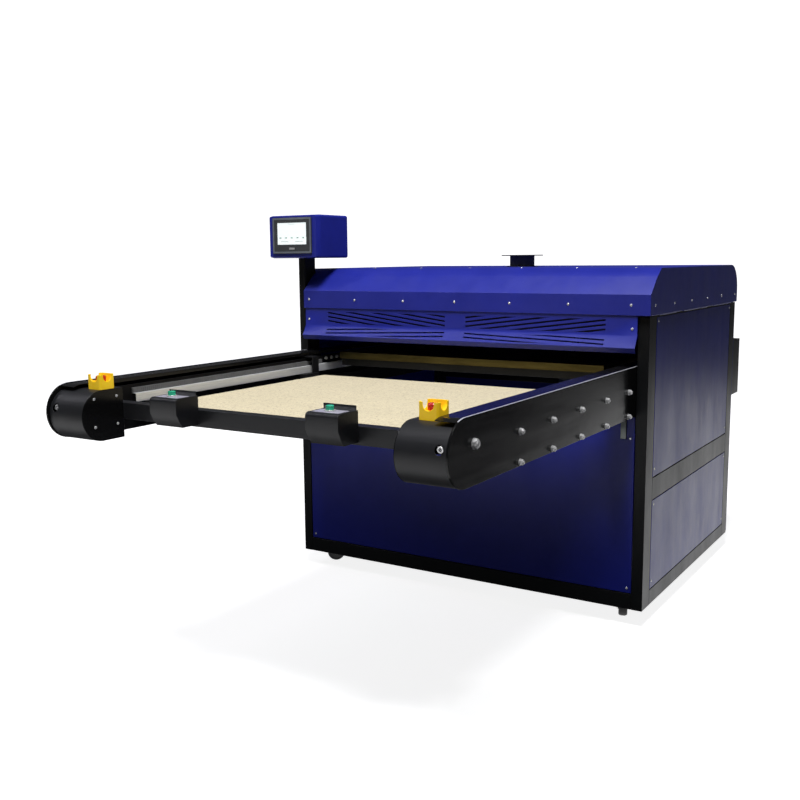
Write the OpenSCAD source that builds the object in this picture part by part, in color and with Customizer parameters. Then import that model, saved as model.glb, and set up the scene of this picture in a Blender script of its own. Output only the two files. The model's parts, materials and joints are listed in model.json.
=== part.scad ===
// Large-format drawer heat press: a box frame on casters, a hood with louvres over
// a heated platen, and a padded table that slides out on two cantilever arms.
// Working frame of the modules: X to the right, Y into the machine, Z up, with
// X = 0 in the middle of the frame, Y = 0 on its front face and Z = 0 on its underside.

/* [Frame] */
// Width of the frame over its posts
frame_w = 1500; // [1440:10:1600]
// Depth of the frame over its posts
frame_d = 1178; // [1170:2:1220]
// Height of the frame above its underside
frame_h = 1045; // [1040:1:1080]
// Width of a corner post seen from the front
post_w = 40; // [36:1:44]
// Depth of a corner post seen from the side
post_d = 80; // [70:1:84]
// Wall of the steel tubes
tube_wall = 3; // [2:0.5:4]
// Thickness of the sheet panels
sheet = 3; // [2:0.5:3]

/* [Hood] */
// Height of the hood's vertical front band
band_h = 70; // [60:1:80]
// Height of the hood's top above the frame's underside
hood_top = 1205; // [1200:1:1240]
// Depth of the sloping front of the hood
slope_d = 104; // [90:1:120]
// Radius of the hood's rear corner
hood_rear_r = 105; // [80:1:110]

/* [Arms] */
// Height of the arm's outer plate
arm_h = 175; // [172:1:178]
// Reach of the arms in front of the frame
arm_reach = 1326; // [1320:1:1340]
// Height of the outer plates' lower edge
arm_bottom = 699; // [699:1:700]
// Width of the rounded housing at each arm's end
housing_w = 155; // [140:1:160]
// Pitch of the bolts along an arm
bolt_pitch = 214; // [205:1:216]

/* [Table] */
// Width of the padded table
table_w = 1120; // [1000:10:1120]
// Depth of the padded table
table_d = 1010; // [900:10:1010]
// Height of the pad's surface
pad_top = 786; // [784:1:787]
// Thickness of the pad
pad_t = 8; // [4:1:10]
// Travel of the table into the press
table_travel = 1150; // [1000:10:1150]

/* [Press] */
// Height of the heated plate's underside when it is raised
plate_z = 810; // [809:1:812]
// Thickness of the heated plate
plate_t = 28; // [20:1:30]
// Thickness of the insulated cover over the heated plate
cover_t = 28; // [20:1:30]

/* [Screen] */
// Width of the screen's box
screen_w = 255; // [240:1:270]
// Height of the screen's box
screen_h = 175; // [165:1:180]
// Depth of the screen's box
screen_d = 210; // [180:1:215]
// Height of the screen box's underside
screen_z = 1253; // [1250:1:1280]

/* [Casters] */
// Diameter of the caster wheels
wheel_d = 75; // [70:1:76]
// Drop of the wheels below the frame
wheel_drop = 62; // [58:1:64]
// Trail of a wheel behind its swivel
trail = 25; // [20:1:26]

/* [Hidden] */
$fn = 64;
inner_x = frame_w / 2 - post_w;
hood_x = frame_w / 2 + 7;
hood_lip_z = frame_h + 3;
band_y = -10;
hood_back_y = frame_d;
screw_r = 4.5;
screw_h = 2;

arm_plate_t = 6;
nose_r = arm_h / 2;
nose_y = -arm_reach + nose_r;
nose_z = arm_bottom + nose_r;
end_r = 79;
end_y = -arm_reach + 8 + end_r;
end_z = arm_bottom + 1 + end_r;
plate_in = inner_x - arm_plate_t;
beam_w = 25;
beam_x = plate_in - 37 - beam_w;
beam_z = arm_bottom + 3;
beam_h = 146;
beam_front = -1240;
beam_back = frame_d - 28;
housing_x = inner_x - housing_w;

belt_x = plate_in - 24;
belt_w = 16;
belt_t = 3;
belt_z = 804;
pulley_r = 28;
idler_y = -1197;
shaft_y = frame_d - 58;
shaft_r = 12.5;
run_gap = 0.08;
axle_r = 8;

rail_w = 20;
rail_h = 28;
rail_z = 791;
slot_z = 765;
rail_x = beam_x - rail_w;
rail_front = -1040;
rail_back = shaft_y - 40;
block_ys = [-960, -120];
block_l = 90;
table_front = -1105;
table_plate_t = 12;

bar_y = -1155;
bar_d = 40;
bar_z = 757;
bar_h = 52;
box_x = 288;
box_w = 107;
box_front = -1247;
box_top = 852;
button_y = -1208;
button_r = 11;
guard_xs = [-585, 608];
guard_y = -1213;
guard_w = 58;
guard_h = 46;
guard_t = 3;
guard_z = end_z + end_r;

cylinder_ys = [340, 760];
cylinder_x = 350;
rod_r = 10;
rise_beam_z = frame_h;
rise_beam_h = 60;

flue_r = 52;
flue_flange_r = 88;
flue_top = hood_top + 54;
flue_y = (band_y + hood_back_y) / 2;

box_back_x = frame_w / 2 - 3;
rear_box_w = 356;
rear_box_d = 112;
rear_box_h = 246;
rear_box_z = 630;
door_t = 15;
hinge_r = 4;

fork_half = 24;
wheel_w = 32;
caster_x = frame_w / 2 - 110;
caster_ys = [120, frame_d - 120];
caster_plate_z = 38;
// Swivel heading of each caster, in degrees: front left, front right, rear left, rear right
headings = [216, -71, 62, 75];

screen_x = -frame_w / 2 + 18.5;
screen_y = -60;

floor_z = -wheel_drop;
mid_x = (hood_x + screw_h + screen_x - screen_w / 2) / 2;
mid_y = (frame_d + sheet + rear_box_d + door_t - arm_reach) / 2;

// ---- Helpers ----

// Moves the working frame so that the origin is on the floor under the middle of the box
module place() translate([-mid_x, -mid_y, -floor_z]) children();

// A box given by its lowest corner and its highest corner
module span(a, b) translate(a) cube(b - a);

// A rectangular tube between two corners, open along the axis (0 = X, 1 = Y, 2 = Z)
module tube(a, b, axis) {
    w = tube_wall;
    cut = [for (i = [0:2]) i == axis ? -1 : w];
    difference() {
        span(a, b);
        span(a + cut, b - cut);
    }
}

// Both sides of the machine: the right side as drawn, and its mirror image
module both() {
    children();
    mirror([1, 0, 0]) children();
}

// A cylinder lying along X between two positions
module rod_x(x0, x1, y, z, r) translate([x0, y, z]) rotate([0, 90, 0]) cylinder(h = x1 - x0, r = r);

// A profile of [y, z] points extruded along X from x0 to x1
module extrude_x(x0, x1) translate([x0, 0, 0]) rotate([90, 0, 90]) linear_extrude(x1 - x0) children();

// Outline of a bar with one round nose, as [y, z] shapes
module nose_outline(cy, cz, r, back) {
    translate([cy, cz]) circle(r);
    translate([cy, cz - r]) square([back - cy, 2 * r]);
}

// Rounded rectangle centred on the origin
module round_rect(w, h, r) {
    square([w - 2 * r, h], center = true);
    square([w, h - 2 * r], center = true);
    for (x = [-1, 1], y = [-1, 1]) translate([x * (w / 2 - r), y * (h / 2 - r)]) circle(r);
}

// ---- Frame ----

module corner_posts() color("#222326") place() both()
    for (y = [0, frame_d - post_d])
        tube([inner_x, y, 0], [frame_w / 2, y + post_d, frame_h], 2);

bottom_rail_h = 57;
bottom_rail_d = 40;
module bottom_rails() color("#222326") place() {
    both() tube([inner_x, post_d, 0], [frame_w / 2, frame_d - post_d, bottom_rail_h], 1);
    for (y = [0, frame_d - bottom_rail_d])
        tube([-inner_x, y, 0], [inner_x, y + bottom_rail_d, bottom_rail_h], 0);
}

mid_rail_z = 389;
mid_rail_h = 81;
top_rail_z = 985;
module side_rails() color("#222326") place() both() {
    tube([inner_x, post_d, mid_rail_z], [frame_w / 2, frame_d - post_d, mid_rail_z + mid_rail_h], 1);
    tube([inner_x, post_d, top_rail_z], [frame_w / 2 - sheet, frame_d - post_d, frame_h], 1);
}

sill_z = 637;
sill_h = 62;
panel_y = 2;
module cross_rails() color("#222326") place() {
    for (y = [panel_y + sheet, frame_d - bottom_rail_d])
        tube([-inner_x, y, sill_z], [inner_x, y + bottom_rail_d, sill_z + sill_h], 0);
    for (y = [0, frame_d - bottom_rail_d])
        tube([-inner_x, y, top_rail_z], [inner_x, y + bottom_rail_d, frame_h], 0);
}

beam_half = 40;
module press_beams() color("#2b2c30") place() for (y = cylinder_ys) difference() {
    tube([-frame_w / 2, y - beam_half, rise_beam_z],
         [frame_w / 2, y + beam_half, rise_beam_z + rise_beam_h], 0);
    for (x = [-1, 1]) translate([x * cylinder_x, y, rise_beam_z - 1])
        cylinder(h = rise_beam_h + 2, r = rod_r + 2);
}

caster_plate_w = 150;
caster_plate_t = 6;
pin_r = 6;
module caster_plates() color("#2b2c30") place() both()
    for (i = [0, 1]) difference() {
        y0 = i == 0 ? bottom_rail_d : frame_d - bottom_rail_d - caster_plate_w;
        span([inner_x - caster_plate_w, y0, caster_plate_z],
             [inner_x, y0 + caster_plate_w, caster_plate_z + caster_plate_t]);
        translate([caster_x, caster_ys[i], caster_plate_z - 1])
            cylinder(h = caster_plate_t + 2, r = pin_r + run_gap);
    }

// ---- Panels ----

seam = 3;
hood_shadow = 6;
module front_panel() color("#24285e") place()
    span([-inner_x + seam, panel_y, bottom_rail_h + seam],
         [inner_x - seam, panel_y + sheet, sill_z + sill_h - seam]);

module side_panels() color("#24285e") place() both() {
    span([frame_w / 2 - sheet, post_d + seam, mid_rail_z + mid_rail_h + seam],
         [frame_w / 2, frame_d - post_d - seam, frame_h - hood_shadow]);
    span([frame_w / 2 - sheet, post_d + seam, bottom_rail_h + seam],
         [frame_w / 2, frame_d - post_d - seam, mid_rail_z - seam]);
}

module rear_panel() color("#24285e") place() difference() {
    span([-frame_w / 2, frame_d, 8], [frame_w / 2, frame_d + sheet, frame_h]);
    for (x = [inlet_x, gland_x]) translate([x, frame_d - 1, service_z]) rotate([-90, 0, 0])
        cylinder(h = sheet + 2, r = service_hole_r);
}

// Side outline of the hood, as [y, z]: band, slope, flat top and round rear corner
module hood_outline(grow) {
    z0 = hood_lip_z;
    polygon(concat(
        [[band_y - grow, z0], [band_y - grow, z0 + band_h + grow / 2],
         [band_y + slope_d * 0.55, z0 + band_h + (hood_top - z0 - band_h) * 0.64 + grow],
         [band_y + slope_d, hood_top + grow]],
        [for (a = [90:-9:0]) [hood_back_y - hood_rear_r + (hood_rear_r + grow) * cos(a),
                              hood_top - hood_rear_r + (hood_rear_r + grow) * sin(a)]],
        [[hood_back_y + grow, z0]]));
}

post_gap = 2;
screen_post_w = 32;
screen_post_d = 72;
module hood() color("#2c3390") place() {
    difference() {
        extrude_x(-hood_x, hood_x) hood_outline(sheet + 1);
        extrude_x(-hood_x + sheet, hood_x - sheet) hood_outline(1);
        translate([0, 0, -5]) extrude_x(-hood_x + sheet, hood_x - sheet) hood_outline(1);
        translate([0, flue_y, hood_top - 20]) cylinder(h = 60, r = flue_r - 4);
        // Corner cut away for the screen's post
        span([-hood_x - 1, band_y - 20, hood_lip_z - 1],
             [-frame_w / 2 + screen_post_w + post_gap, screen_post_d + post_gap, hood_top + 20]);
    }
    // Return flanges that stand on the frame, between the press beams
    both() for (y = [[100, 290], [390, 710], [810, 1090]])
        span([hood_x - sheet - 14, y[0], frame_h], [hood_x - sheet + 1, y[1], hood_lip_z + 2]);
}

// Louvre panel: upright sheet, lip flared forwards, and a short return below it
lip_y = band_y - 24;
lip_z = frame_h - 107;
fold_z = frame_h - 67;
lip_len = 46.6;
lip_turn = 31;
slot_x = [44, 597];
slot_pitch = 16.5;

// Parallel slanting strips inside a rectangle that starts at the first corner
module slant_slots(x0, x1, z0, z1, rise, thick, first, count) intersection() {
    translate([x0, z0]) square([x1 - x0, z1 - z0]);
    for (k = [0:count - 1]) translate([x1, first + k * slot_pitch]) rotate(atan(rise))
        translate([-2 * (x1 - x0), -thick / 2]) square([4 * (x1 - x0), thick]);
}

module louver_panel() color("#2a3088") place() difference() {
    extrude_x(-inner_x - 1, inner_x + 1) polygon([
        [band_y, frame_h + 2], [band_y, fold_z], [lip_y, lip_z], [lip_y + 8, lip_z - 18],
        [lip_y + 8 + sheet, lip_z - 17], [lip_y + sheet + 0.6, lip_z + 1],
        [band_y + sheet, fold_z + 1], [band_y + sheet, frame_h - 1], [0, frame_h - 1],
        [0, frame_h + 2]]);
    both() {
        translate([0, band_y + sheet + 1, 0]) rotate([90, 0, 0]) linear_extrude(sheet + 2)
            slant_slots(slot_x[0], slot_x[1], fold_z + 8, frame_h - 11, 0.129, 6.5, fold_z + 20, 7);
        translate([0, band_y, fold_z]) rotate([-lip_turn, 0, 0]) translate([0, 6, -lip_len])
            rotate([90, 0, 0]) linear_extrude(12)
                slant_slots(slot_x[0], slot_x[1], 6, lip_len - 8, -0.04, 5, -5, 5);
    }
}

module exhaust_flue() color("#3a3b3e") place() translate([0, flue_y, 0]) difference() {
    union() {
        translate([0, 0, hood_top + sheet + 1]) cylinder(h = 3, r = flue_r + 14);
        translate([0, 0, hood_top + sheet + 1]) cylinder(h = flue_top - hood_top - sheet - 1, r = flue_r);
        translate([0, 0, flue_top - 4]) cylinder(h = 4, r = flue_flange_r);
    }
    translate([0, 0, hood_top]) cylinder(h = 60, r = flue_r - 2);
    for (a = [0:60:300]) rotate(a) translate([75, 0, flue_top - 5]) cylinder(h = 6, r = 3.5);
}

// ---- Screen unit ----

module screen_post() color("#17181a") place() {
    tube([-frame_w / 2, 0, frame_h], [-frame_w / 2 + screen_post_w, screen_post_d, screen_z], 2);
}

hmi_w = 200;
hmi_h = 146;
hmi_z = screen_z + 92;
bevel_d = 24;
bevel = 8;
module screen_box() color("#2c3390") place() difference() {
    translate([screen_x, screen_y, screen_z + screen_h / 2]) rotate([-90, 0, 0]) union() {
        hull() {
            linear_extrude(1) round_rect(screen_w - 2 * bevel, screen_h - bevel, 6);
            translate([0, 0, bevel_d]) linear_extrude(1) round_rect(screen_w, screen_h, 10);
        }
        translate([0, 0, bevel_d]) linear_extrude(screen_d - bevel_d) round_rect(screen_w, screen_h, 10);
    }
    translate([screen_x, screen_y + sheet, screen_z + screen_h / 2]) rotate([-90, 0, 0])
        linear_extrude(screen_d - 2 * sheet)
            round_rect(screen_w - 2 * (bevel + sheet), screen_h - bevel - 2 * sheet, 4);
    span([screen_x - hmi_w / 2 + 6, screen_y - 1, hmi_z - hmi_h / 2 + 6],
         [screen_x + hmi_w / 2 - 6, screen_y + sheet + 1, hmi_z + hmi_h / 2 - 6]);
}

glass_w = 148;
glass_h = 88;
glass_up = 8;
module touch_panel() color("#51555f") place() difference() {
    union() {
        translate([screen_x, screen_y, hmi_z]) rotate([90, 0, 0])
            linear_extrude(6) round_rect(hmi_w, hmi_h, 5);
        span([screen_x - hmi_w / 2 + 8, screen_y, hmi_z - hmi_h / 2 + 8],
             [screen_x + hmi_w / 2 - 8, screen_y + 38, hmi_z + hmi_h / 2 - 8]);
    }
    span([screen_x - glass_w / 2, screen_y - 7, hmi_z + glass_up - glass_h / 2],
         [screen_x + glass_w / 2, screen_y - 3, hmi_z + glass_up + glass_h / 2]);
}

module touch_screen() color("white") place()
    span([screen_x - glass_w / 2, screen_y - 5, hmi_z + glass_up - glass_h / 2],
         [screen_x + glass_w / 2, screen_y - 3, hmi_z + glass_up + glass_h / 2]);

// ---- Arms ----

bolt_rows = [710, 793.5];
bolt_first = -80;
function bolt_y(i) = bolt_first - i * bolt_pitch;
bolt_count = 5;

module arm_plates() color("#1b1a1d") place() both() difference() {
    extrude_x(plate_in, inner_x) nose_outline(nose_y, nose_z, nose_r, post_d);
    for (i = [0:bolt_count - 1], z = bolt_rows) rod_x(plate_in - 1, inner_x + 1, bolt_y(i), z, 5.2);
    rod_x(plate_in - 1, inner_x + 1, idler_y, belt_z, axle_r + 0.1);
}

module arm_beams() color("#26272a") place() both() difference() {
    tube([beam_x, beam_front, beam_z], [beam_x + beam_w, beam_back, beam_z + beam_h], 1);
    for (i = [0:bolt_count - 1], z = bolt_rows)
        rod_x(beam_x + beam_w - 5, beam_x + beam_w + 1, bolt_y(i), z, 5.2);
    rod_x(beam_x + beam_w - 5, beam_x + beam_w + 1, idler_y, belt_z, axle_r + 0.1);
    rod_x(beam_x - 1, beam_x + beam_w + 1, shaft_y, belt_z, shaft_r + 4);
}

// Cover strip over the belt, carried round the nose to the end cover
cover_sheet = 2;
cover_gap = 12;
wrap_to = 112;
module arm_covers() color("#1d1d22") place() both() {
    z1 = nose_z + nose_r - 2;
    span([beam_x, nose_y, z1 - cover_sheet], [plate_in, frame_d / 2, z1]);
    span([beam_x, idler_y, beam_z + beam_h + cover_gap],
         [beam_x + cover_sheet, frame_d / 2, z1 - cover_sheet]);
    extrude_x(beam_x, plate_in) translate([nose_y, nose_z]) difference() {
        intersection() {
            circle(nose_r - 2);
            polygon([[0, 0], [0, 200], [-200, 200], 200 * [cos(wrap_to), sin(wrap_to)]]);
        }
        circle(nose_r - 2 - cover_sheet);
    }
}

// Bent sheet round the front of each arm's end
tension_x = belt_x;
tension_hole_r = 12.5;
end_rear = bar_y - 1;
module end_covers() color("#303134") place() both() difference() {
    extrude_x(housing_x + 2, plate_in) nose_outline(end_y, end_z, end_r, end_rear);
    extrude_x(housing_x, plate_in + 1)
        nose_outline(end_y, end_z, end_r - cover_sheet, end_rear + 1);
    translate([tension_x, end_y, belt_z]) rotate([90, 0, 0])
        cylinder(h = 100, r = tension_hole_r);
}

module end_plates() color("#1d1e20") place() both()
    extrude_x(housing_x, housing_x + 2) nose_outline(end_y, end_z, end_r, end_rear);

// Guide rails of the table: channels whose deep upper flange shows above the slot that the
// carriages run in
lip_t = 8;
web_t = 7;
module table_rails() color("silver") place() both() difference() {
    span([rail_x, rail_front, slot_z - lip_t], [beam_x, rail_back, rail_z + rail_h]);
    span([rail_x - 1, rail_front - 1, slot_z], [beam_x - web_t, rail_back + 1, rail_z]);
}

// Dust seals along the arm beams, above the rails
seal_t = 8;
seal_h = 18;
module seal_strips() color("#33363a") place() both()
    span([beam_x - seal_t, rail_front, rail_z + rail_h],
         [beam_x, -seam, rail_z + rail_h + seal_h]);

module crossbar() color("#17181a") place()
    tube([-beam_x, bar_y, bar_z], [beam_x, bar_y + bar_d, bar_z + bar_h], 0);

// Hanging boxes of the start buttons: bent sheet with a rounded nose
box_low = 765;
module box_outline(in) polygon(concat(
    [[bar_y, box_low + in], [box_front + 25 + in * 0.5, box_low + in],
     [box_front + 12 + in, box_low + 18], [box_front + in, box_low + 42]],
    [for (a = [180:-18:90]) [box_front + 12 + (12 - in) * cos(a), box_top - 12 + (12 - in) * sin(a)]],
    [[bar_y, box_top - in]]));

module button_boxes() color("#1d1e21") place() both() translate([box_x - box_w / 2, 0, 0]) {
    difference() {
        extrude_x(0, box_w) box_outline(0);
        extrude_x(cover_sheet, box_w - cover_sheet) box_outline(cover_sheet);
        translate([box_w / 2, button_y, box_top - 20]) cylinder(h = 40, r = button_r + 0.5);
    }
    span([0, bar_y - 10, box_top - 1], [box_w, bar_y - 7, box_top + 14]);
}

module button_rings() color("silver") place() both() translate([box_x, button_y, box_top])
    difference() {
        cylinder(h = 5, r = button_r + 4);
        translate([0, 0, -1]) cylinder(h = 7, r = button_r + 0.5);
    }

button_rise = 17;
module start_button(x) color("#1fae78") place() translate([x, button_y, box_top - 14])
    cylinder(h = 14 + button_rise, r = button_r);
module left_start_button() start_button(-box_x);
module right_start_button() start_button(box_x);

// Stop button housings: a solid foot and a square guard with a U-shaped slot in the front
// wall and in both side walls
guard_r = 8;
foot_h = 14;
slot_r = 16;
slot_low = 24;
stem_r = 10;
module estop_guards() color("#f2c410") place()
    for (x = guard_xs) translate([x, guard_y, guard_z]) difference() {
        linear_extrude(guard_h) round_rect(guard_w, guard_w, guard_r);
        translate([0, 0, foot_h]) linear_extrude(guard_h)
            round_rect(guard_w - 2 * guard_t, guard_w - 2 * guard_t, guard_r - guard_t);
        translate([0, 0, -1]) cylinder(h = foot_h + 2, r = stem_r + 1);
        for (turn = [-90, 0, 90]) rotate(turn) translate([0, 0, slot_low + slot_r]) {
            rotate([90, 0, 0]) cylinder(h = guard_w, r = slot_r);
            translate([-slot_r, -guard_w, 0]) cube([2 * slot_r, guard_w, guard_h]);
        }
    }

head_r = 16;
head_z = 22;
head_h = 19;
head_round = 6;
stem_z = 6;
module estop_button(x) color("#c8201c") place() translate([x, guard_y, guard_z]) {
    translate([0, 0, stem_z]) cylinder(h = head_z - stem_z, r = stem_r);
    translate([0, 0, head_z]) rotate_extrude() polygon(concat(
        [[0, 0], [head_r - 2, 0], [head_r, 2], [head_r, head_h - head_round]],
        [for (a = [0:15:90]) [head_r - head_round + head_round * cos(a),
                              head_h - head_round + head_round * sin(a)]],
        [[0, head_h]]));
}
module left_estop_button() estop_button(guard_xs[0]);
module right_estop_button() estop_button(guard_xs[1]);

// ---- Table drive ----

belt_gap = 0.25;
module belt_shape(r) {
    for (y = [idler_y, shaft_y]) translate([y, belt_z]) circle(r);
    translate([idler_y, belt_z - r]) square([shaft_y - idler_y, 2 * r]);
}
module drive_belts() color("#141414") place() both() difference() {
    extrude_x(belt_x - belt_w / 2, belt_x + belt_w / 2) belt_shape(pulley_r + belt_gap + belt_t);
    extrude_x(belt_x - belt_w, belt_x + belt_w) belt_shape(pulley_r + belt_gap);
}

// Pulley along X with two rims, centred on the belt; the bore is cut by the caller
rim = 1.5;
module pulley(y, r_bore) difference() {
    union() {
        rod_x(belt_x - belt_w / 2 - 0.5, belt_x + belt_w / 2 + 0.5, y, belt_z, pulley_r);
        for (x = [-belt_w / 2 - rim - 0.5, belt_w / 2 + 0.5])
            rod_x(belt_x + x, belt_x + x + rim, y, belt_z, pulley_r + 3);
    }
    rod_x(belt_x - belt_w, belt_x + belt_w, y, belt_z, r_bore);
}
module right_idler() color("#8c9096") place() pulley(idler_y, axle_r + run_gap);
module left_idler() color("#8c9096") place() mirror([1, 0, 0]) pulley(idler_y, axle_r + run_gap);

module drive_shaft() color("#9a9da2") place() {
    rod_x(-belt_x - belt_w / 2 - 4, belt_x + belt_w / 2 + 4, shaft_y, belt_z, shaft_r);
    both() pulley(shaft_y, shaft_r - 0.5);
}

bearing_half = 34;
module shaft_bearings() color("#5d6166") place() both() difference() {
    union() {
        span([rail_x + 8, shaft_y - bearing_half, belt_z - bearing_half],
             [beam_x, shaft_y + bearing_half, belt_z + bearing_half]);
        rod_x(rail_x - 4, rail_x + 8, shaft_y, belt_z, shaft_r + 9);
    }
    rod_x(rail_x - 5, beam_x + 1, shaft_y, belt_z, shaft_r + run_gap);
}

gearbox_half = 55;
motor_r = 37;
motor_len = 190;
module gear_motor() color("#4c5560") place() {
    difference() {
        span([-gearbox_half, shaft_y - 54, sill_z + sill_h],
             [gearbox_half, shaft_y + 40, belt_z + 60]);
        rod_x(-gearbox_half - 1, gearbox_half + 1, shaft_y, belt_z, shaft_r + run_gap);
    }
    translate([0, shaft_y - 23, sill_z + sill_h - motor_len]) cylinder(h = motor_len, r = motor_r);
    for (z = [30:12:150]) translate([0, shaft_y - 23, sill_z + sill_h - z])
        cylinder(h = 3, r = motor_r + 3);
}

// ---- Press ----

piston_top = 76;
cylinder_h = 88;
module air_cylinders() color("#a9adb3") place() both() for (y = cylinder_ys)
    translate([cylinder_x, y, rise_beam_z + rise_beam_h]) difference() {
        union() {
            translate([-45, -45, 0]) cube([90, 90, 12]);
            cylinder(h = cylinder_h, r = 36);
            translate([0, 0, cylinder_h - 12]) cylinder(h = 12, r = 40);
        }
        translate([0, 0, -1]) cylinder(h = piston_top + 1, r = rod_r + run_gap);
    }

lid_z = plate_z + plate_t + cover_t;
module cylinder_rods() color("#c9ccd0") place() both() for (y = cylinder_ys)
    translate([cylinder_x, y, lid_z]) {
        cylinder(h = 10, r = 34);
        cylinder(h = rise_beam_z + rise_beam_h + piston_top - 4 - lid_z, r = rod_r);
    }

press_front = 46;
press_d = 1010;
module heat_plate() color("#3a3a34") place()
    span([-table_w / 2 - 10, press_front, plate_z],
         [table_w / 2 + 10, press_front + press_d, plate_z + plate_t]);

module platen_cover() color("#b09a4a") place()
    span([-table_w / 2 - 16, press_front - 6, plate_z + plate_t],
         [table_w / 2 + 16, press_front + press_d + 6, lid_z]);

// ---- Table ----

table_back = table_front + table_d;
under_z = pad_top - pad_t - table_plate_t;
rib_h = 30;
rib_inset = 160;
module table_pad() color("#dfd4b4") place()
    span([-table_w / 2, table_front, pad_top - pad_t], [table_w / 2, table_back, pad_top]);

module table_plate() color("#3a3b3e") place() {
    span([-table_w / 2 - 4, table_front, under_z], [table_w / 2 + 4, table_back, pad_top - pad_t]);
    for (x = [-390, -130, 130, 390])
        tube([x - 15, table_front + rib_inset, under_z - rib_h],
             [x + 15, table_back - 10, under_z], 1);
}

// Guide blocks in the rails' slots, each on an angle that reaches under the table
block_x = rail_x - 19;
clear = 0.3;
angle_t = 6;
foot_reach = 40;
module carriages() color("#2c2d30") place() both() for (y = block_ys) {
    y0 = y - block_l / 2;
    y1 = y + block_l / 2;
    span([block_x, y0, slot_z + clear], [beam_x - web_t - clear, y1, rail_z - clear]);
    span([block_x - angle_t, y0, under_z - angle_t], [block_x, y1, rail_z - clear]);
    span([table_w / 2 - foot_reach, y0, under_z - angle_t], [block_x - angle_t, y1, under_z]);
}

// Straps from the rear blocks over the arm beam to the belts' upper runs
strap_y = -90;
strap_z = beam_z + beam_h + 4;
strap_t = 5;
strap_half = 20;
jaw_t = 5;
jaw_web = 3.5;
belt_top = belt_z + pulley_r + belt_gap + belt_t;
module belt_clamps() color("#2c2d30") place() both() {
    y0 = strap_y - strap_half;
    y1 = strap_y + strap_half;
    web = belt_x - belt_w / 2 - 4;
    jaw_x = belt_x + belt_w / 2;
    jaw_low = belt_top - belt_t - clear - jaw_t;
    span([block_x, y0, rail_z - clear], [block_x + strap_t, y1, strap_z + strap_t]);
    span([block_x + strap_t, y0, strap_z], [web, y1, strap_z + strap_t]);
    span([web, y0, jaw_low], [web + jaw_web, y1, strap_z + strap_t]);
    span([web + jaw_web, y0, belt_top + clear], [jaw_x, y1, belt_top + clear + jaw_t]);
    span([web + jaw_web, y0, jaw_low], [jaw_x, y1, jaw_low + jaw_t]);
}

// ---- Fasteners ----

// Hexagon head or nut lying along X
module hex_x(x, len, y, z, af) translate([x, y, z]) rotate([0, 90, 0])
    cylinder(h = len, r = af / 2 / cos(30), $fn = 6);

frame_bolt_ys = [28, 66, 104];
frame_bolt_z = 838;
module arm_bolts() color("silver") place() both() {
    for (i = [0:bolt_count - 1], z = bolt_rows) {
        rod_x(beam_x + beam_w - 4, inner_x + 14, bolt_y(i), z, 5);
        rod_x(inner_x, inner_x + 2, bolt_y(i), z, 10);
        hex_x(inner_x + 2, 8, bolt_y(i), z, 16);
    }
    rod_x(beam_x + beam_w - 4, inner_x + 15, idler_y, belt_z, axle_r);
    rod_x(inner_x, inner_x + 2, idler_y, belt_z, 14);
    hex_x(inner_x + 2, 9, idler_y, belt_z, 24);
    // Heads of the bolts that hold the beam to the frame's front
    for (y = frame_bolt_ys) hex_x(beam_x - 8, 8, y, frame_bolt_z, 13);
    // Tension screw behind the round hole of the end cover
    translate([tension_x, idler_y - pulley_r - 8, belt_z]) rotate([90, 0, 0]) {
        cylinder(h = 70, r = 5);
        translate([0, 0, 64]) cylinder(h = 12, r = 9.2, $fn = 6);
    }
}

// Spacer sleeves between the arm's plate and beam, the blocks that join it to the posts, and
// the angle under the beam
sleeve_r = 10;
angle_w = 20;
angle_reach = 44;
block_lo = 705;
block_hi = 765;
module arm_spacers() color("#2c2d30") place() both() {
    for (i = [0:bolt_count - 1], z = bolt_rows) difference() {
        rod_x(beam_x + beam_w, plate_in, bolt_y(i), z, sleeve_r);
        rod_x(beam_x + beam_w - 1, plate_in + 1, bolt_y(i), z, 5.2);
    }
    span([beam_x + beam_w, 0, block_lo], [plate_in, post_d, block_hi]);
    span([beam_x + beam_w, frame_d - post_d + 4, block_lo], [inner_x, beam_back, block_hi]);
    angle_x = beam_x + beam_w - 9;
    span([angle_x, panel_y - angle_t, sill_z - angle_w], [angle_x + angle_w, panel_y, beam_z]);
    span([angle_x, -angle_reach, beam_z - angle_t], [angle_x + angle_w, panel_y - angle_t, beam_z]);
}

// Round screw head on a face: along = 0 faces +X, 1 faces -Y, 2 faces +Y
module screw(x, y, z, along) translate([x, y, z])
    rotate(along == 0 ? [0, 90, 0] : along == 1 ? [90, 0, 0] : [-90, 0, 0])
        cylinder(h = screw_h, r = screw_r);

edge = 15;
hood_screw_z = hood_lip_z + 36;
module panel_screws() color("silver") place() {
    for (i = [0:6]) screw(-689 + i * 229.6, band_y - sheet - 1, hood_screw_z, 1);
    both() {
        for (i = [0:5]) screw(hood_x, 36 + i * 220.5, hood_screw_z - 2, 0);
        screw(inner_x - 17, band_y, frame_h - 43, 1);
        for (z = [bottom_rail_h + 20, sill_z - 18]) screw(inner_x - 18, panel_y, z, 1);
        for (y = [post_d + seam + edge, frame_d - post_d - seam - edge]) {
            for (z = [mid_rail_z + mid_rail_h + 2 * edge, frame_h - edge - 4,
                      bottom_rail_h + 2 * edge, mid_rail_z - seam - edge])
                screw(frame_w / 2, y, z, 0);
        }
        for (z = [40, frame_h / 2, frame_h - 40])
            screw(frame_w / 2 - 20, frame_d + sheet, z, 2);
    }
    // Inner faces of the two arm ends
    for (s = [0, 1], y = [end_rear - 25, end_rear - 113], z = [end_z - 33, end_z + 54])
        mirror([s, 0, 0]) translate([housing_x, y, z]) rotate([0, -90, 0])
            cylinder(h = screw_h, r = screw_r);
}

// ---- Rear services ----

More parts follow.
